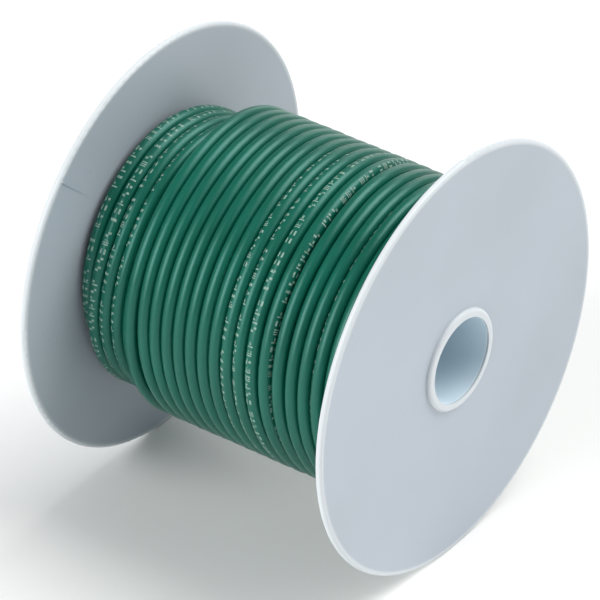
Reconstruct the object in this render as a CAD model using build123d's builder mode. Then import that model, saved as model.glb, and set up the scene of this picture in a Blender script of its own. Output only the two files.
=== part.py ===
"""Wire spool: two moulded flanges on a drum and an arbor tube, level-wound with insulated wire.

Millimetres, +Z up, +X along the bore, origin at the middle of the bore.
"""
import os
from math import atan2, cos, degrees, hypot, pi, radians, sin, sqrt

from build123d import *

# Spool
FLANGE_RADIUS = 63.5
FLANGE_THICKNESS = 2.0
WIDTH_OVER_FLANGES = 102.6
RIM_FILLET = 0.85
BORE_RADIUS = 12.7
BARREL_RADIUS = 23.8
BARREL_WALL = 1.8
ARBOR_WALL = 1.5

# Raised bead round the mouth of the bore
LIP_HEIGHT = 1.2
LIP_RADIUS = 15.2
LIP_OUTER_FILLET = 1.05
LIP_INNER_FILLET = 0.4
MOUTH_RADIUS = BORE_RADIUS + 0.1
MOUTH_DEPTH = 0.5
SEAT_GAP = 0.15
ARBOR_CHAMFER = 0.12

# Sockets and ribs on the inner side of each flange, inside the drum
COLLAR_WALL = 2.0
COLLAR_LENGTH = 12.0
SPIGOT_WALL = 1.8
SPIGOT_LENGTH = 8.0
RIB_COUNT = 6
RIB_WIDTH = 1.6
KEY_WIDTH = 4.0
KEY_LENGTH = 5.0
KEY_HEIGHT = BARREL_WALL - 0.2
KEY_CLEARANCE = 0.1

# Flow mark of the moulding on the far flange's inner face: a ridge that fades inwards from the rim
FLOW_MARK_ANGLE = 137.0
FLOW_MARK_LENGTH = 17.0
FLOW_MARK_HEIGHT = 0.22
FLOW_MARK_WIDTH = 0.4

# Wire: stranded conductor in round insulation, wound in nested layers
WIRE_DIAMETER = 4.06
CONDUCTOR_DIAMETER = 2.4
PITCH = 4.066
FULL_LAYERS = 5
TOP_LAYER_END = -30.0

# The wire's two ends, held in holes in the far flange
LEAD_HOLE_RADIUS = 2.25
LEAD_PROUD = 1.0
FINISH_BEND_RADIUS = 16.0
FINISH_LEAVE_ANGLE = 18.0
START_ANGLE = 40.0

# Worked out
OUTER_FACE = WIDTH_OVER_FLANGES / 2
INNER_FACE = OUTER_FACE - FLANGE_THICKNESS
LIP_CREST = OUTER_FACE + LIP_HEIGHT
ARBOR_RADIUS = BORE_RADIUS + ARBOR_WALL
SHOULDER = LIP_CREST - MOUTH_DEPTH
ARBOR_HALF_LENGTH = SHOULDER - SEAT_GAP
COLLAR_RADIUS = ARBOR_RADIUS + COLLAR_WALL
SPIGOT_RADIUS = BARREL_RADIUS - BARREL_WALL
LAYER_RISE = sqrt(WIRE_DIAMETER**2 - (PITCH / 2) ** 2)
FIRST_LAYER_RADIUS = BARREL_RADIUS + WIRE_DIAMETER / 2
TOP_LAYER_RADIUS = FIRST_LAYER_RADIUS + FULL_LAYERS * LAYER_RISE
WINDING_RADIUS = TOP_LAYER_RADIUS + WIRE_DIAMETER / 2
STEP_RADIUS = WINDING_RADIUS - LAYER_RISE
LEAD_END = -(OUTER_FACE + LEAD_PROUD)
FINISH_HOLE_RADIUS = hypot(TOP_LAYER_RADIUS, FINISH_BEND_RADIUS)
FINISH_HOLE_ANGLE = FINISH_LEAVE_ANGLE - degrees(atan2(FINISH_BEND_RADIUS, TOP_LAYER_RADIUS))


def round_the_axis(radius, angle):
    """The point (y, z) at this radius from the bore's axis, the angle measured from +Y towards +Z."""
    return radius * cos(radians(angle)), radius * sin(radians(angle))


def flange_section():
    """Half section of the near flange, radius along +Y: the disc, the bead and the two sockets' walls."""
    with BuildSketch(Plane.XY) as section:
        with BuildLine():
            Polyline(
                (INNER_FACE, FLANGE_RADIUS),
                (OUTER_FACE, FLANGE_RADIUS),
                (OUTER_FACE, LIP_RADIUS),
                (LIP_CREST, LIP_RADIUS),
                (LIP_CREST, MOUTH_RADIUS),
                (SHOULDER, MOUTH_RADIUS),
                (SHOULDER, ARBOR_RADIUS),
                (INNER_FACE - COLLAR_LENGTH, ARBOR_RADIUS),
                (INNER_FACE - COLLAR_LENGTH, COLLAR_RADIUS),
                (INNER_FACE, COLLAR_RADIUS),
                (INNER_FACE, SPIGOT_RADIUS - SPIGOT_WALL),
                (INNER_FACE - SPIGOT_LENGTH, SPIGOT_RADIUS - SPIGOT_WALL),
                (INNER_FACE - SPIGOT_LENGTH, SPIGOT_RADIUS),
                (INNER_FACE, SPIGOT_RADIUS),
                close=True,
            )
        make_face()
        rim = section.vertices().group_by(Axis.Y)[-1]
        fillet(rim, RIM_FILLET)
        crest = section.vertices().group_by(Axis.X)[-1]
        fillet(crest.sort_by(Axis.Y)[-1], LIP_OUTER_FILLET)
        fillet(crest.sort_by(Axis.Y)[0], LIP_INNER_FILLET)
    return section.sketch


def ribs_and_key():
    """Radial ribs from the arbor collar to the drum spigot, and the key that stops the drum turning."""
    rib_middle = (COLLAR_RADIUS + SPIGOT_RADIUS - SPIGOT_WALL) / 2
    rib_span = SPIGOT_RADIUS - COLLAR_RADIUS
    key_root = SPIGOT_RADIUS - SPIGOT_WALL / 2
    key_top = SPIGOT_RADIUS + KEY_HEIGHT
    with BuildPart() as inner:
        with BuildSketch(Plane.YZ.offset(INNER_FACE)):
            with PolarLocations(rib_middle, RIB_COUNT):
                Rectangle(rib_span, RIB_WIDTH)
        extrude(amount=-SPIGOT_LENGTH)
        with BuildSketch(Plane.YZ.offset(INNER_FACE)):
            with Locations(((key_root + key_top) / 2, 0)):
                Rectangle(key_top - key_root, KEY_WIDTH)
        extrude(amount=-KEY_LENGTH)
    return inner.part


# Near flange, at +X
with BuildPart() as near_flange:
    add(flange_section())
    revolve(axis=Axis.X)
    add(ribs_and_key())

# Far flange, at -X: the same moulding turned round, with two holes for the wire's ends
with BuildPart() as far_flange:
    add(mirror(near_flange.part, about=Plane.YZ))
    with BuildSketch(Plane.YZ.offset(-OUTER_FACE)):
        with Locations(round_the_axis(FINISH_HOLE_RADIUS, FINISH_HOLE_ANGLE)):
            Circle(LEAD_HOLE_RADIUS)
        with Locations(round_the_axis(FIRST_LAYER_RADIUS, START_ANGLE)):
            Circle(LEAD_HOLE_RADIUS)
    extrude(amount=FLANGE_THICKNESS, mode=Mode.SUBTRACT)
    mark_plane = Plane(
        origin=(-INNER_FACE, 0, 0),
        x_dir=(0, *round_the_axis(1, FLOW_MARK_ANGLE)),
        z_dir=(0, *round_the_axis(1, FLOW_MARK_ANGLE - 90)),
    )
    with BuildSketch(mark_plane):
        mark_start = FLANGE_RADIUS - RIM_FILLET
        with BuildLine():
            Polyline(
                (mark_start, -FLOW_MARK_HEIGHT),
                (mark_start, FLOW_MARK_HEIGHT),
                (mark_start - FLOW_MARK_LENGTH, 0),
                (mark_start - FLOW_MARK_LENGTH, -FLOW_MARK_HEIGHT),
                close=True,
            )
        make_face()
    extrude(amount=FLOW_MARK_WIDTH / 2, both=True)

# Drum that the wire is wound on, butted between the flanges and slid over their spigots
with BuildPart() as barrel_tube:
    with BuildSketch(Plane.YZ.offset(-INNER_FACE)):
        Circle(BARREL_RADIUS)
        Circle(SPIGOT_RADIUS, mode=Mode.SUBTRACT)
    extrude(amount=2 * INNER_FACE)
    for end in (-1, 1):
        with BuildSketch(Plane.YZ.offset(end * INNER_FACE)):
            with Locations((SPIGOT_RADIUS + BARREL_WALL / 2, 0)):
                Rectangle(2 * BARREL_WALL, KEY_WIDTH + 2 * KEY_CLEARANCE)
        extrude(amount=-end * (KEY_LENGTH + KEY_CLEARANCE), mode=Mode.SUBTRACT)

# Arbor tube, seated in both flanges' collars: its bore is what the spool turns on
with BuildPart() as arbor_tube:
    with BuildSketch(Plane.YZ.offset(-ARBOR_HALF_LENGTH)):
        Circle(ARBOR_RADIUS)
        Circle(BORE_RADIUS, mode=Mode.SUBTRACT)
    extrude(amount=2 * ARBOR_HALF_LENGTH)
    mouth_edges = arbor_tube.edges().filter_by(GeomType.CIRCLE).group_by(SortBy.RADIUS)[0]
    chamfer(mouth_edges, ARBOR_CHAMFER)

# The wire's outer end leaves the top layer along a tangent, bends to the far flange and goes through it
leave_y, leave_z = round_the_axis(TOP_LAYER_RADIUS, FINISH_LEAVE_ANGLE)
lead_plane = Plane(
    origin=(TOP_LAYER_END, leave_y, leave_z),
    x_dir=(0, *round_the_axis(1, FINISH_LEAVE_ANGLE - 90)),
    z_dir=(0, *round_the_axis(1, FINISH_LEAVE_ANGLE)),
)
with BuildLine(lead_plane) as finish_route:
    bend = JernArc(start=(0, 0), tangent=(1, 0), radius=FINISH_BEND_RADIUS, arc_size=90)
    Line(bend @ 1, bend @ 1 + (0, TOP_LAYER_END - FINISH_BEND_RADIUS - LEAD_END))


def finish_sweep(outer_radius, inner_radius=0):
    """The round or ring-shaped section carried along the outer end's route."""
    with BuildPart() as lead:
        with BuildSketch(Plane(origin=lead_plane.origin, z_dir=lead_plane.x_dir)):
            Circle(outer_radius)
            if inner_radius:
                Circle(inner_radius, mode=Mode.SUBTRACT)
        sweep(path=finish_route.wires()[0])
    return lead.part


def start_stub(outer_radius, inner_radius=0):
    """The straight stretch of the wire's inner end that goes through the far flange."""
    with BuildPart() as lead:
        with BuildSketch(Plane.YZ.offset(LEAD_END)):
            with Locations(round_the_axis(FIRST_LAYER_RADIUS, START_ANGLE)):
                Circle(outer_radius)
                if inner_radius:
                    Circle(inner_radius, mode=Mode.SUBTRACT)
        extrude(amount=OUTER_FACE + LEAD_PROUD - INNER_FACE)
    return lead.part


with BuildPart() as finish_lead:
    add(finish_sweep(WIRE_DIAMETER / 2, CONDUCTOR_DIAMETER / 2))

with BuildPart() as finish_conductor:
    add(finish_sweep(CONDUCTOR_DIAMETER / 2))

with BuildPart() as start_lead:
    add(start_stub(WIRE_DIAMETER / 2, CONDUCTOR_DIAMETER / 2))

with BuildPart() as start_conductor:
    add(start_stub(CONDUCTOR_DIAMETER / 2))

# The winding: five full layers, and a top layer that stops short of the far flange
with BuildPart() as wire_winding:
    with BuildSketch(Plane.XY):
        with BuildLine():
            Polyline(
                (-INNER_FACE, BARREL_RADIUS),
                (INNER_FACE, BARREL_RADIUS),
                (INNER_FACE, WINDING_RADIUS),
                (TOP_LAYER_END - WIRE_DIAMETER / 2, WINDING_RADIUS),
                (TOP_LAYER_END - WIRE_DIAMETER / 2, STEP_RADIUS),
                (-INNER_FACE, STEP_RADIUS),
                close=True,
            )
        make_face()
    revolve(axis=Axis.X)
    add(finish_sweep(WIRE_DIAMETER / 2), mode=Mode.SUBTRACT)

PARTS = {
    "near_flange": near_flange,
    "far_flange": far_flange,
    "barrel_tube": barrel_tube,
    "arbor_tube": arbor_tube,
    "wire_winding": wire_winding,
    "finish_lead": finish_lead,
    "finish_conductor": finish_conductor,
    "start_lead": start_lead,
    "start_conductor": start_conductor,
}

os.makedirs("parts", exist_ok=True)
for name, piece in PARTS.items():
    piece.part.label = name
    export_step(piece.part, f"parts/{name}.step")

turns = 2 * INNER_FACE / PITCH
full_length = sum(2 * pi * turns * (FIRST_LAYER_RADIUS + layer * LAYER_RISE) for layer in range(FULL_LAYERS))
top_length = 2 * pi * TOP_LAYER_RADIUS * (INNER_FACE - TOP_LAYER_END) / PITCH
print(f"winding radius {WINDING_RADIUS:.2f}, wire wound {(full_length + top_length) / 1000:.2f} m")
section_area = pi * (WIRE_DIAMETER / 2) ** 2
route_length = finish_route.wires()[0].length
swept = finish_lead.part.volume + finish_conductor.part.volume
print(f"finish lead {swept:.1f} mm3, section times length {section_area * route_length:.1f} mm3")
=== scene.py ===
"""Looks of the wire spool: moulded spool, one continuous wire wound in layers, its print and its cut ends."""

import random
from math import atan2, cos, floor, hypot, pi, radians, sin, sqrt

import bpy
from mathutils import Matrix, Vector


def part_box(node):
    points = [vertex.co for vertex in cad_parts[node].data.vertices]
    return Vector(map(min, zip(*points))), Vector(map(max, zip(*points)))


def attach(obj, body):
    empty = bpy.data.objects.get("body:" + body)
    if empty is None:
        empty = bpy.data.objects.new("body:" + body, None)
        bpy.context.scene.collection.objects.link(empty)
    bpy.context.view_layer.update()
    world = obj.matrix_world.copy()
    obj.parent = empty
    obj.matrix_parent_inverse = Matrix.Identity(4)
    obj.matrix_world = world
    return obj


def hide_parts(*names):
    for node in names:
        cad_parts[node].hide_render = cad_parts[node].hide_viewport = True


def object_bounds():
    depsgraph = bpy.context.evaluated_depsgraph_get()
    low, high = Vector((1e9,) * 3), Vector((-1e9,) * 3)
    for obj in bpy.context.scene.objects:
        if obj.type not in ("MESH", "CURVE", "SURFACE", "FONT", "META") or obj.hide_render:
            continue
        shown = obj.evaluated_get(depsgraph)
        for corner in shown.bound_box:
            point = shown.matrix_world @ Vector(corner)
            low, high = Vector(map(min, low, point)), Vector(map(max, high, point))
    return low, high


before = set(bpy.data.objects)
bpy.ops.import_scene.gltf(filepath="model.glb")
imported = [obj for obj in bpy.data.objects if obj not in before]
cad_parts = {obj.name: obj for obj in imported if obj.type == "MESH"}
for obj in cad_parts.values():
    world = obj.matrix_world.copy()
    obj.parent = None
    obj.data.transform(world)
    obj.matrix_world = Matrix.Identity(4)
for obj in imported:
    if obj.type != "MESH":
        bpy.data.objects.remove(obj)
CAD_LOW, CAD_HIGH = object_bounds()

MM = 0.001

# Sizes read from the frame, in metres
WINDING_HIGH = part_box("wire_winding")[1]
DRUM_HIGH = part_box("barrel_tube")[1]
START_LOW, START_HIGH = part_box("start_lead")
CONDUCTOR_LOW, CONDUCTOR_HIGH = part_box("start_conductor")

FLANGE_RADIUS = CAD_HIGH.z
DRUM_RADIUS = DRUM_HIGH.z
INNER_FACE = WINDING_HIGH.x
WIRE_DIAMETER = START_HIGH.z - START_LOW.z
WIRE_RADIUS = WIRE_DIAMETER / 2
CONDUCTOR_RADIUS = (CONDUCTOR_HIGH.z - CONDUCTOR_LOW.z) / 2
LEAD_END = START_LOW.x
START_ANGLE = atan2(START_LOW.z + START_HIGH.z, START_LOW.y + START_HIGH.y)

# The wire as it is wound: tight turns, and looser ones beside the near flange, nested layer on layer
LAYERS = 6
LOOSE_STEPS = [4.07, 4.07, 4.25, 4.40, 4.10, 4.40, 4.70, 4.40, 4.20]
TIGHT_STEP = 4.066 * MM
TIGHT_STEPS = 13
TOP_LAYER_TIGHT_STEPS = 9
FIRST_LAYER_TURNS_LEFT_OUT = 2
SEEN_LAYERS = 2

# How far a turn may be out of its place, in mm: along the bore, and outwards
STRAY_ALONG = 0.06
STRAY_OUT = 0.12
# The share of that in the hidden layers, which lie truer
HIDDEN_STRAY = 0.3

# A turn goes straight round, but for two crossings, where it moves on by half a step
FIRST_CROSSING = radians(80)
SECOND_CROSSING = 258 / 360
LAST_TURN_CROSSING = 150 / 360
CROSSING_WIDTH = 78 / 360
CROSSING_BULGE = 0.08 * MM

# Where nothing lies on the turns beside the far flange, they sink over part of the round
SAG = 2.4 * MM
SAG_ANGLE = radians(45)
SAG_REACH = radians(60)
SAG_STARTS = -30 * MM

# The wire's two ends, in mm: (way round, place along the bore), and (way on, drop to the far flange)
FINISH_LEAVE_ANGLE = radians(18)
FIRST_TURN_ANGLE = radians(4)
START_ROUTE = (
    (0, -52.3),
    (0, -50.7),
    (0, -49.0),
    (0.83, -44.8),
    (3.2, -41.3),
    (6.7, -38.9),
    (10.9, -38.1),
)
FINISH_ROUTE = ((3.2, 0), (9.1, 1.9), (13.6, 6.4), (15.9, 12), (16, 16.5), (16, 19.5), (16, 22.34))

# Points of the route in each turn, steps of its spline to a point, and sides of the wire's tube
HIDDEN_POINTS = 12
SEEN_POINTS = 24
SPLINE_STEPS = 3
SIDES = 14

# The camera, round the spool's middle
CAMERA_AZIMUTH = radians(36.56)
CAMERA_ELEVATION = radians(34.6)
CAMERA_DISTANCE = 27.68 * FLANGE_RADIUS
CAMERA_RIGHT = -0.0321 * FLANGE_RADIUS
CAMERA_UP = -0.0182 * FLANGE_RADIUS
CAMERA_LENS = 381.0


def smooth(t):
    """0 to 1 with flat ends."""
    t = min(max(t, 0.0), 1.0)
    return t * t * (3 - 2 * t)


# ---------------------------------------------------------------- the stage


def make_camera():
    """A long lens, level, looking down at the spool from the near flange's side."""
    back = Vector(
        (
            sin(CAMERA_AZIMUTH) * cos(CAMERA_ELEVATION),
            -cos(CAMERA_AZIMUTH) * cos(CAMERA_ELEVATION),
            sin(CAMERA_ELEVATION),
        )
    )
    right = Vector((cos(CAMERA_AZIMUTH), sin(CAMERA_AZIMUTH), 0))
    up = back.cross(right)
    data = bpy.data.cameras.new("camera")
    data.lens = CAMERA_LENS
    data.sensor_width = 36
    data.clip_start = 0.01
    data.clip_end = 50
    camera = bpy.data.objects.new("camera", data)
    camera.rotation_mode = "QUATERNION"
    camera.rotation_quaternion = (-back).to_track_quat("-Z", "Y")
    camera.location = back * CAMERA_DISTANCE + right * CAMERA_RIGHT + up * CAMERA_UP
    bpy.context.scene.collection.objects.link(camera)
    bpy.context.scene.camera = camera


def soft_light(name, towards, strength, spread):
    """A distant soft light seen in this direction from the spool, this many degrees across."""
    data = bpy.data.lights.new(name, "SUN")
    data.energy = strength
    data.angle = radians(spread)
    data.color = (1.0, 0.985, 0.96)
    light = bpy.data.objects.new(name, data)
    light.rotation_mode = "QUATERNION"
    light.rotation_quaternion = (-Vector(towards)).to_track_quat("-Z", "Y")
    bpy.context.scene.collection.objects.link(light)


def make_stage():
    """A plain pale floor under the rims, a dim room and four soft lights."""
    bpy.context.scene.view_settings.view_transform = "Standard"
    world = bpy.data.worlds.new("studio")
    world.use_nodes = True
    room = world.node_tree.nodes["Background"]
    room.inputs["Color"].default_value = (0.88, 0.95, 1.0, 1)
    room.inputs["Strength"].default_value = 0.30
    bpy.context.scene.world = world
    soft_light("front_light", (-0.36, -0.80, 0.42), 2.4, 44)
    soft_light("overhead_light", (0.29, 0.49, 0.82), 2.7, 48)
    soft_light("side_light", (0.80, 0.15, 0.60), 0.45, 40)
    soft_light("back_light", (-0.30, 1.10, 0.35), 0.35, 34)

    reach = 40.0
    mesh = bpy.data.meshes.new("floor")
    corners = [(-reach, -reach), (reach, -reach), (reach, reach), (-reach, reach)]
    mesh.from_pydata([(x, y, CAD_LOW.z) for x, y in corners], [], [(0, 1, 2, 3)])
    floor = bpy.data.objects.new("floor", mesh)
    bpy.context.scene.collection.objects.link(floor)
    material = new_material("floor_paper")
    paper = material.node_tree.nodes["Principled BSDF"]
    paper.inputs["Base Color"].default_value = (0.88, 0.88, 0.88, 1)
    paper.inputs["Roughness"].default_value = 0.9
    paper.inputs["Specular IOR Level"].default_value = 0.0
    mesh.materials.append(material)


# ---------------------------------------------------------------- materials


def new_material(name):
    material = bpy.data.materials.new(name)
    material.use_nodes = True
    return material


class Nodes:
    """A short hand for a material's node tree."""

    def __init__(self, material):
        self.tree = material.node_tree
        self.shader = self.tree.nodes["Principled BSDF"]
        self.place = self.tree.nodes.new("ShaderNodeTexCoord").outputs["Object"]

    def add(self, kind, inputs=(), **settings):
        node = self.tree.nodes.new(kind)
        for key, value in settings.items():
            setattr(node, key, value)
        for key, value in dict(inputs).items():
            if isinstance(value, bpy.types.NodeSocket):
                self.tree.links.new(value, node.inputs[key])
            else:
                node.inputs[key].default_value = value
        return node

    def noise(self, scale, detail=2.0, roughness=0.5, place=None):
        """Noise whose scale is in features per metre."""
        inputs = {"Vector": place or self.place, "Scale": scale, "Detail": detail, "Roughness": roughness}
        return self.add("ShaderNodeTexNoise", inputs).outputs["Fac"]

    def stretched(self, factors):
        """The object's coordinates, stretched along each axis by one over its factor."""
        inputs = {"Vector": self.place, "Scale": factors}
        return self.add("ShaderNodeMapping", inputs).outputs["Vector"]

    def ramp(self, value, stops):
        """A colour ramp through (position, colour) stops."""
        node = self.add("ShaderNodeValToRGB", {"Fac": value})
        elements = node.color_ramp.elements
        while len(elements) < len(stops):
            elements.new(0.5)
        for element, (position, colour) in zip(elements, stops):
            element.position = position
            element.color = (*colour, 1)
        return node.outputs["Color"]

    def span(self, value, low, high):
        """A 0 to 1 value mapped to low to high."""
        inputs = {"Value": value, "To Min": low, "To Max": high}
        return self.add("ShaderNodeMapRange", inputs).outputs["Result"]

    def sum(self, first, second, operation="ADD"):
        node = self.add("ShaderNodeMath", operation=operation)
        self.tree.links.new(first, node.inputs[0])
        if isinstance(second, bpy.types.NodeSocket):
            self.tree.links.new(second, node.inputs[1])
        else:
            node.inputs[1].default_value = second
        return node.outputs["Value"]

    def out_from_axis(self):
        """Distance from the bore's axis, as a part of the flange's radius."""
        across = self.stretched((0, 1 / FLANGE_RADIUS, 1 / FLANGE_RADIUS))
        node = self.add("ShaderNodeVectorMath", operation="LENGTH")
        self.tree.links.new(across, node.inputs[0])
        return node.outputs["Value"]

    def bump(self, height, distance, strength=1.0):
        inputs = {"Height": height, "Distance": distance, "Strength": strength}
        return self.add("ShaderNodeBump", inputs).outputs["Normal"]

    def wire_up(self, **sockets):
        for key, value in sockets.items():
            socket = self.shader.inputs[key.replace("_", " ")]
            if isinstance(value, bpy.types.NodeSocket):
                self.tree.links.new(value, socket)
            else:
                socket.default_value = value


BODY_TINT = (0.425, 0.475, 0.53)
PAINTED_HIGHLIGHT_TINT = (0.62, 0.66, 0.69)
# The arbor tube's tint is paler than the body's: painted light that brightens the inside of the bore
LIT_ARBOR_TINT = (0.62, 0.745, 0.83)

# How pale the plastic is out from the bore's axis: its lip and rim are paler, a painted highlight where they
# catch the light
PAINTED_HIGHLIGHT_STOPS = ((0.236, 1.0), (0.244, 0.0), (0.972, 0.0), (0.985, 1.0))


def spool_plastic(name, tint, pale):
    """Pale blue-grey polystyrene: faint cloudiness, sparse scuffs and a soft satin moulded surface, with the
    pale colour painted on the lip and rim as a highlight.
    """
    material = new_material(name)
    n = Nodes(material)
    cloud = n.noise(22, 3)
    scuffs = n.noise(260, 6, 0.62, n.stretched((1, 0.25, 1)))
    scuff_mask = n.span(n.ramp(scuffs, [(0.66, (0, 0, 0)), (0.74, (1, 1, 1))]), 0, 1)
    body = n.ramp(cloud, [(0.3, [0.96 * c for c in tint]), (0.7, [1.04 * c for c in tint])])
    # Painted highlight: the lip and rim take the pale colour, lighter than the body
    edge_highlight = n.ramp(n.out_from_axis(), [(at, [pale] * 3) for at, pale in PAINTED_HIGHLIGHT_STOPS])
    colour = n.add("ShaderNodeMix", data_type="RGBA")
    n.tree.links.new(edge_highlight, colour.inputs["Factor"])
    n.tree.links.new(body, colour.inputs[6])
    colour.inputs[7].default_value = (*pale, 1)
    specks = n.add("ShaderNodeMix", data_type="RGBA")
    speck_mask = n.ramp(n.noise(800, 2), [(0.735, (0, 0, 0)), (0.775, (0.45, 0.45, 0.45))])
    n.tree.links.new(speck_mask, specks.inputs["Factor"])
    n.tree.links.new(colour.outputs[2], specks.inputs[6])
    specks.inputs[7].default_value = (0.22, 0.21, 0.20, 1)
    colour = specks.outputs[2]
    roughness = n.sum(n.span(cloud, 0.36, 0.44), n.sum(scuff_mask, 0.12, "MULTIPLY"))
    grain = n.noise(2600, 3)
    swell = n.noise(35, 1)
    relief = n.sum(n.sum(grain, 0.12, "MULTIPLY"), n.sum(swell, 1.0, "MULTIPLY"))
    n.wire_up(Base_Color=colour, Roughness=roughness, Normal=n.bump(relief, 0.00012, 0.5))
    n.shader.inputs["Specular IOR Level"].default_value = 0.5
    return material


def wire_insulation():
    """Glossy green PVC: slight shade changes along the wire and fine drawing marks."""
    material = new_material("wire_insulation")
    n = Nodes(material)
    shade = n.noise(60, 3)
    colour = n.ramp(shade, [(0.3, (0.0006, 0.080, 0.050)), (0.7, (0.001, 0.098, 0.063))])
    roughness = n.span(n.noise(400, 3), 0.31, 0.41)
    ripple = n.noise(900, 2)
    n.wire_up(Base_Color=colour, Roughness=roughness, Normal=n.bump(ripple, 0.00003, 0.35))
    n.shader.inputs["Specular Tint"].default_value = (0.52, 1.0, 0.97, 1)
    n.shader.inputs["Specular IOR Level"].default_value = 0.6
    return material


def print_ink():
    """Thin off-white ink, a little worn."""
    material = new_material("print_ink")
    n = Nodes(material)
    wear = n.noise(1800, 4, 0.7)
    colour = n.ramp(wear, [(0.35, (0.07, 0.21, 0.155)), (0.55, (0.26, 0.39, 0.335))])
    n.wire_up(Base_Color=colour, Roughness=n.span(wear, 0.4, 0.6))
    return material


def tinned_copper():
    """Tinned strands, cut across: pale metal with a dull bloom."""
    material = new_material("tinned_copper")
    n = Nodes(material)
    bloom = n.noise(3000, 3)
    colour = n.ramp(bloom, [(0.35, (0.42, 0.41, 0.39)), (0.65, (0.68, 0.67, 0.65))])
    n.wire_up(Base_Color=colour, Roughness=n.span(bloom, 0.25, 0.45))
    n.shader.inputs["Metallic"].default_value = 1.0
    return material


# ---------------------------------------------------------------- the wire


def round_the_axis(x, radius, angle):
    """A point at this distance along the bore and this radius from it."""
    return Vector((x, radius * cos(angle), radius * sin(angle)))


def posts():
    """Distances along the bore of the turns in an odd layer, near flange first."""
    places = [INNER_FACE - WIRE_RADIUS]
    for step in [step * MM for step in LOOSE_STEPS] + [TIGHT_STEP] * TIGHT_STEPS:
        places.append(places[-1] - step)
    return places


def layer_places(layer):
    """Distances along the bore of a layer's turns in the order that they are wound."""
    odd = posts()
    if layer == LAYERS - 1:
        return odd[: 1 + len(LOOSE_STEPS) + TOP_LAYER_TIGHT_STEPS]
    if layer % 2:
        return odd
    even = [(a + b) / 2 for a, b in zip(odd, odd[1:])] + [odd[-1] - TIGHT_STEP / 2]
    left_out = FIRST_LAYER_TURNS_LEFT_OUT if layer == 0 else 0
    return even[: len(even) - left_out][::-1]


def stations():
    """(distance along the bore, radius, layer) twice a turn: between the crossings in front, and behind.

    Every turn is a hair out of place, as a wire wound by machine is.
    """
    rng = random.Random(12)
    rise = sqrt(WIRE_DIAMETER**2 - (TIGHT_STEP / 2) ** 2)
    places = []
    for layer in range(LAYERS):
        onward = -1 if layer % 2 else 1
        loose = 1.0 if layer >= LAYERS - SEEN_LAYERS else HIDDEN_STRAY
        turns = [x + rng.uniform(-STRAY_ALONG, STRAY_ALONG) * MM * loose for x in layer_places(layer)]
        limit = INNER_FACE - WIRE_RADIUS
        turns = [min(max(x, -limit), limit) for x in turns]
        behind = [(a + b) / 2 for a, b in zip(turns, turns[1:])]
        behind.append(turns[-1] + onward * TIGHT_STEP / 2)
        for x, x_behind in zip(turns, behind):
            stray = rng.uniform(0, STRAY_OUT) * MM * loose
            radius = DRUM_RADIUS + WIRE_RADIUS + layer * rise + stray
            places.append((x, radius, layer))
            places.append((min(max(x_behind, -limit), limit), radius, layer))
    return places


def turns_below(places, layer):
    """How many turns are wound before this layer begins."""
    return sum(1 for place in places[::2] if place[2] < layer)


def turns_done(count, last_turn):
    """Turns gained along the bore, count turns of travel after the first crossing."""
    whole = floor(count)
    second = LAST_TURN_CROSSING if whole == last_turn else SECOND_CROSSING
    done = whole - 1.0
    for centre in (0, second, 1):
        done += 0.5 * smooth((count - whole - centre) / CROSSING_WIDTH + 0.5)
    return done


def coil_place(places, count):
    """(distance along the bore, radius) of the wire, count turns of travel after the first crossing.

    Known fault: over most of the first turn the wire should be half a step before its first place. It
    is held at that place instead, and lies half inside the second turn. It is hidden, on the drum.
    """
    angle = FIRST_CROSSING - 2 * pi * count
    step = min(max(2 * turns_done(count, len(places) // 2 - 1), 0), len(places) - 1.001)
    share = step % 1
    before, after = places[floor(step)], places[floor(step) + 1]
    x = before[0] + (after[0] - before[0]) * share
    radius = before[1] + (after[1] - before[1]) * share
    radius += CROSSING_BULGE * before[2] * sin(pi * share)
    away = abs((angle - SAG_ANGLE + pi) % (2 * pi) - pi)
    lower_seen = LAYERS - SEEN_LAYERS
    slack = smooth((SAG_STARTS - x) / TIGHT_STEP) * min(before[2], lower_seen) / lower_seen
    return x, radius - SAG * slack * smooth(1 - away / SAG_REACH)


def wire_route():
    """Control points of the wire's whole centreline, from its inner end to its outer end."""
    places = stations()
    first_radius = places[0][1]
    points = []
    for s, x in START_ROUTE:
        points.append(round_the_axis(x * MM, first_radius, START_ANGLE - s * MM / first_radius))
    hidden_turns = turns_below(places, LAYERS - SEEN_LAYERS)
    count = (FIRST_CROSSING - FIRST_TURN_ANGLE) / (2 * pi)
    last_count = len(places) // 2 + (FIRST_CROSSING - FINISH_LEAVE_ANGLE) / (2 * pi)
    while count < last_count:
        per_turn = HIDDEN_POINTS if count < hidden_turns - 0.5 else SEEN_POINTS
        x, radius = coil_place(places, count)
        points.append(round_the_axis(x, radius / cos(pi / per_turn), FIRST_CROSSING - 2 * pi * count))
        count += 1 / per_turn
    x, radius = coil_place(places, last_count)
    leave = round_the_axis(x, radius, FINISH_LEAVE_ANGLE)
    onward = round_the_axis(0, 1, FINISH_LEAVE_ANGLE - pi / 2)
    points += [leave + onward * s * MM + Vector((-drop * MM, 0, 0)) for s, drop in FINISH_ROUTE]
    points[-1].x = LEAD_END
    return points


def nurbs_line(name, points, steps):
    """Points along the smooth NURBS spline that has these control points, steps to each one."""
    curve = bpy.data.curves.new(name, "CURVE")
    curve.dimensions = "3D"
    spline = curve.splines.new("NURBS")
    spline.points.add(len(points) - 1)
    for point, place in zip(spline.points, points):
        point.co = (*place, 1)
    spline.order_u = 3
    spline.use_endpoint_u = True
    spline.resolution_u = steps
    holder = bpy.data.objects.new(name, curve)
    bpy.context.scene.collection.objects.link(holder)
    mesh = bpy.data.meshes.new_from_object(holder)
    line = [v.co.copy() for v in mesh.vertices]
    bpy.data.objects.remove(holder)
    bpy.data.curves.remove(curve)
    bpy.data.meshes.remove(mesh)
    return line


def tangents(line):
    """The direction of travel at each point of a line."""
    ahead = line[1:] + line[-1:]
    behind = line[:1] + line[:-1]
    return [(b - a).normalized() for a, b in zip(behind, ahead)]


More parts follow.
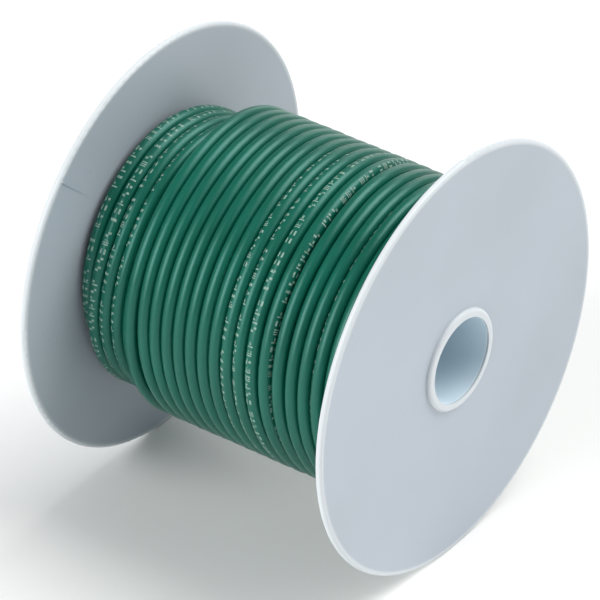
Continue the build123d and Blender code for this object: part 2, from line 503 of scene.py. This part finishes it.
def carried_normals(line):
    """A normal at each point, carried along the line without twist."""
    normals = []
    normal = None
    for tangent in tangents(line):
        if normal is None:
            normal = tangent.orthogonal()
        normal = (normal - tangent * normal.dot(tangent)).normalized()
        normals.append(normal)
    return normals


def mesh_object(name, vertices, faces, material, smooth_faces=True):
    mesh = bpy.data.meshes.new(name)
    mesh.from_pydata(vertices, [], faces)
    mesh.polygons.foreach_set("use_smooth", [smooth_faces] * len(mesh.polygons))
    mesh.materials.append(material)
    mesh.update()
    piece = bpy.data.objects.new(name, mesh)
    bpy.context.scene.collection.objects.link(piece)
    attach(piece, "root")
    return piece


def ring_faces(rings, sides):
    """Quads joining rings of vertices in order."""
    faces = []
    for ring in range(rings - 1):
        for side in range(sides):
            turn = (side + 1) % sides
            low, high = ring * sides, (ring + 1) * sides
            faces.append((low + side, low + turn, high + turn, high + side))
    return faces


def tube(line, radius, hole_radius, hole_depth):
    """Vertices and faces of a round tube with a blind hole in each end, where the conductor comes out."""
    normals = carried_normals(line)
    directions = tangents(line)
    sections = [(place, normal, way, radius) for place, normal, way in zip(line, normals, directions)]

    def hole(section, inward):
        place, normal, way, _ = section
        bottom = place + way * inward * hole_depth
        return [(place, normal, way, hole_radius), (bottom, normal, way, hole_radius)]

    sections = hole(sections[0], 1)[::-1] + sections + hole(sections[-1], -1)
    vertices = []
    for place, normal, way, size in sections:
        across = way.cross(normal)
        for side in range(SIDES):
            turn = 2 * pi * side / SIDES
            vertices.append(place + (normal * cos(turn) + across * sin(turn)) * size)
    faces = ring_faces(len(sections), SIDES)
    last = len(vertices) - SIDES
    faces.append(tuple(range(SIDES))[::-1])
    faces.append(tuple(range(last, last + SIDES)))
    return vertices, faces


def make_wire(line, material):
    vertices, faces = tube(line, WIRE_RADIUS, CONDUCTOR_RADIUS, 2.0 * MM)
    wire = mesh_object("wire", vertices, faces, material)
    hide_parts("wire_winding", "start_lead", "finish_lead")
    return wire


# ---------------------------------------------------------------- strands at the cut ends


def make_strands(name, node, end, way, material):
    """The conductor's strands, laid in rings round a middle one, just proud of the cut insulation."""
    strand_radius = CONDUCTOR_RADIUS / 9.3
    rings = 4
    sides = 8
    depth = 2.4 * MM
    proud = 0.12 * MM
    lay_twist = radians(14)
    across = way.orthogonal().normalized()
    up = way.cross(across)
    rng = random.Random(len(name))
    vertices, faces = [], []
    for ring in range(rings + 1):
        count = max(1, 6 * ring)
        for k in range(count):
            middle = ring * strand_radius * 2.06
            stand = proud + rng.uniform(-0.03, 0.03) * MM
            base = len(vertices)
            for step, (back, size) in enumerate(((depth, 1.0), (0.04 * MM, 1.0), (0.0, 0.8))):
                angle = 2 * pi * k / count + lay_twist * (1 if step else 0)
                centre = end + way * (stand - back) + (across * cos(angle) + up * sin(angle)) * middle
                for side in range(sides):
                    turn = 2 * pi * side / sides
                    vertices.append(centre + (across * cos(turn) + up * sin(turn)) * strand_radius * size)
            faces += [tuple(base + v for v in face) for face in ring_faces(3, sides)]
            faces.append(tuple(base + v for v in range(sides))[::-1])
            faces.append(tuple(base + 2 * sides + v for v in range(sides)))
    strands = mesh_object(name, vertices, faces, material, smooth_faces=False)
    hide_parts(node)
    return strands


# ---------------------------------------------------------------- print on the wire


# Marks of the legend, in rectangles: (from, to) along the wire in mm, and (low, high) in band heights
MARKS = (
    ((0, 0.35, -0.5, 0.5), (0.62, 0.97, -0.5, 0.5), (1.25, 1.6, -0.5, 0.5)),
    ((0, 1.5, 0.2, 0.5), (0, 1.5, -0.5, -0.2)),
    ((0, 0.45, -0.5, 0.5), (0.85, 1.5, -0.5, -0.05)),
    ((0, 0.65, -0.5, 0.05), (0.85, 1.5, -0.05, 0.5)),
    ((0.3, 1.1, -0.5, 0.5),),
    ((0, 0.38, -0.5, 0.5), (0.65, 1.6, -0.16, 0.16)),
    ((0, 1.5, -0.5, -0.15), (0.4, 1.1, 0.1, 0.5)),
)
MARK_PITCH = 2.4 * MM
WORD_GAP = 1.8 * MM
PRINT_HEIGHT = 1.75 * MM
INK_LIFT = 0.03 * MM

# How far the legend has rolled round the wire from facing outwards, in degrees: (turn of its layer, roll)
LOWER_ROLLS = ((0, -4), (1, 8), (2, -28), (3, -34), (4, -90), (5, -150))
UPPER_ROLLS = (
    (2, 250),
    (3, 303),
    (4, 260),
    (5, 170),
    (6.8, 102),
    (7, 66),
    (7.2, 46),
    (7.8, -5),
    (8.2, -11),
    (9, -33),
    (10, -27),
    (11, -80),
    (12, -150),
)
# Turns of travel by which the print starts before the lower seen layer, and by which a roll trails its turn
PRINT_LEADS_BY = 0.5
ROLL_TRAILS_BY = 0.7


def print_roll(turn, layer_starts):
    """The legend's roll at this turn of the two seen layers."""
    lower, upper = layer_starts
    rolls, turn = (LOWER_ROLLS, turn - lower) if turn < upper else (UPPER_ROLLS, turn - upper)
    if turn <= rolls[0][0]:
        return radians(rolls[0][1])
    for (a, roll_a), (b, roll_b) in zip(rolls, rolls[1:]):
        if turn < b:
            return radians(roll_a + (roll_b - roll_a) * (turn - a) / (b - a))
    return radians(rolls[-1][1])


def legend_marks(rng):
    """Endless (rectangles, way to the next mark): bars, dashes and blocks in groups, not letters."""
    while True:
        size = rng.randint(3, 9)
        for k in range(size):
            yield rng.choice(MARKS), MARK_PITCH + (WORD_GAP if k == size - 1 else 0)


def make_print(line, material):
    """A generic legend printed along the wire, on the two layers that can be seen."""
    places = stations()
    layer_starts = [turns_below(places, layer) for layer in (LAYERS - SEEN_LAYERS, LAYERS - 1)]
    marks = legend_marks(random.Random(5))
    ways = tangents(line)
    vertices, faces = [], []
    travelled = next_mark = 0.0
    round_so_far = 0.0
    for i in range(1, len(line)):
        step = line[i] - line[i - 1]
        travelled += step.length
        round_so_far += step.length / (2 * pi * hypot(line[i].y, line[i].z))
        if round_so_far < layer_starts[0] - PRINT_LEADS_BY:
            next_mark = travelled
            continue
        while next_mark < travelled:
            rectangles, pitch = next(marks)
            place = line[i] - step * ((travelled - next_mark) / step.length)
            outward = Vector((0, place.y, place.z))
            outward = (outward - ways[i] * outward.dot(ways[i])).normalized()
            roll = print_roll(round_so_far - ROLL_TRAILS_BY, layer_starts)
            for rectangle in rectangles:
                add_mark(vertices, faces, place, ways[i], outward, roll, rectangle)
            next_mark += pitch
    return mesh_object("wire_print", vertices, faces, material)


def add_mark(vertices, faces, place, way, outward, roll, rectangle):
    """One rectangle of ink, wrapped round the wire's surface."""
    first, last, low, high = rectangle
    slices = 3
    across = way.cross(outward)
    reach = WIRE_RADIUS + INK_LIFT
    start = len(vertices)
    for k in range(slices + 1):
        angle = roll + (low + (high - low) * k / slices) * PRINT_HEIGHT / WIRE_RADIUS
        normal = outward * cos(angle) + across * sin(angle)
        for end in (first, last):
            vertices.append(place + way * end * MM + normal * reach)
    for k in range(slices):
        a = start + 2 * k
        faces.append((a, a + 1, a + 3, a + 2))


# ---------------------------------------------------------------- the spool


def dress_node(node, material):
    """Gives a CAD node its material."""
    for slot in bpy.data.objects[node].material_slots:
        slot.material = material


make_stage()
make_camera()

plastic = spool_plastic("spool_plastic", BODY_TINT, PAINTED_HIGHLIGHT_TINT)
for node in ("near_flange", "far_flange", "barrel_tube"):
    dress_node(node, plastic)
# The arbor tube's paler tint is painted light in the bore
dress_node("arbor_tube", spool_plastic("arbor_plastic", LIT_ARBOR_TINT, LIT_ARBOR_TINT))

centreline = nurbs_line("wire_route", wire_route(), SPLINE_STEPS)
wire = make_wire(centreline, wire_insulation())
ink = make_print(centreline, print_ink())
metal = tinned_copper()
outwards = Vector((-1, 0, 0))
start_strands = make_strands("start_strands", "start_conductor", centreline[0], outwards, metal)
finish_strands = make_strands("finish_strands", "finish_conductor", centreline[-1], outwards, metal)
